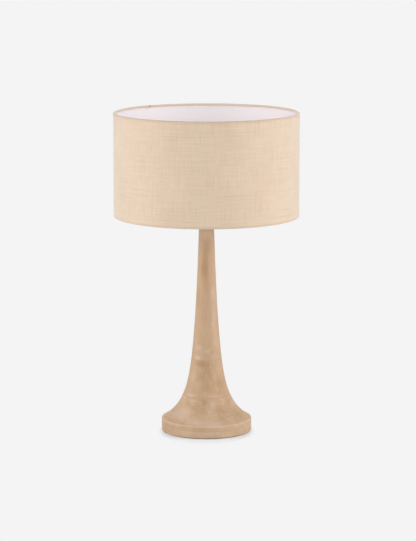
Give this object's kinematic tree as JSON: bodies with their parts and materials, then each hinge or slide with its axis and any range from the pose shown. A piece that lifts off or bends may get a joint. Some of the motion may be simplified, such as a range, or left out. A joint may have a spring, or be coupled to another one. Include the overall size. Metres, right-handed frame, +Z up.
{
  "type": "column table lamp",
  "caption": "Table lamp with a flared turned wooden column, a round base and a straight drum shade with a woven cover and white liner.",
  "frame": {"origin": "middle of the felt's underside, on the surface that the lamp stands on", "axes": "+Z up along the column, -Y towards the front as pictured, +Y towards the side where the cord goes in, +X towards the switch knob"},
  "size_m": [0.4064, 0.4064, 0.7078],
  "materials": {
    "base_wood": "matt pale oiled wood, end grain and knot",
    "middle_wood": "matt pale oiled wood, upright grain",
    "column_wood": "matt pale oiled wood, upright grain",
    "felt": "pressed felt",
    "zinc_steel": "zinc plated",
    "bush_plastic": "moulded",
    "brass": "satin turned brass",
    "holder_shell": "satin pressed brass",
    "porcelain": "unglazed insulating ceramic",
    "contact_brass": "bare sheet brass",
    "switch_plastic": "moulded black",
    "ring_plastic": "moulded white",
    "lamp_metal": "drawn, bright",
    "lamp_insulator": "black insulator",
    "lamp_housing": "moulded white",
    "lamp_board": "white coated board",
    "lamp_dome": "opal diffuser",
    "shade_weave": "natural slubbed weave",
    "shade_liner": "white laminated liner",
    "ring_wire": "white coated wire",
    "fitter_white": "white powder coat"
  },
  "bodies": {
    "stand": {"base_block": "base_wood", "middle_block": "middle_wood", "column_shaft": "column_wood", "felt_pad": "felt", "threaded_rod": "zinc_steel", "base_washer": "zinc_steel", "base_nut": "zinc_steel", "cord_bush": "bush_plastic", "check_ring": "brass", "socket_cap": "brass", "cap_set_screw": "brass", "socket_shell": "holder_shell", "socket_sleeve": "porcelain", "screw_shell": "contact_brass", "socket_body": "porcelain", "terminal_screws": "contact_brass", "centre_contact": "contact_brass"},
    "switch": {"switch_cam": "switch_plastic", "switch_spindle": "zinc_steel", "switch_knob": "switch_plastic"},
    "clamp_ring": {"shade_ring": "ring_plastic"},
    "lamp": {"lamp_tip": "lamp_metal", "lamp_insulator": "lamp_insulator", "lamp_cap": "lamp_metal", "lamp_housing": "lamp_housing", "lamp_board": "lamp_board", "lamp_dome": "lamp_dome"},
    "shade": {"shade_cover": "shade_weave", "shade_liner": "shade_liner", "top_ring": "ring_wire", "bottom_ring": "ring_wire", "fitter_ring": "fitter_white", "fitter_arms": "fitter_white"}
  },
  "joints": [
    {"name": "switch_knob_turn", "type": "hinge", "parent": "stand", "child": "switch", "pos_m": [0, 0, 0.5284], "axis": [1, 0, 0], "continuous": true},
    {"name": "shade_turn", "type": "hinge", "parent": "stand", "child": "shade", "pos_m": [0, 0, 0.5454], "axis": [0, 0, 1], "continuous": true},
    {"name": "shade_ring_turn", "type": "hinge", "parent": "stand", "child": "clamp_ring", "pos_m": [0, 0, 0.5492], "axis": [0, 0, 1], "range_deg": [0, 1080]},
    {"name": "lamp_lift", "type": "slide", "parent": "stand", "child": "lamp", "axis": [0, 0, 1], "range_m": [0, 0.18]}
  ]
}
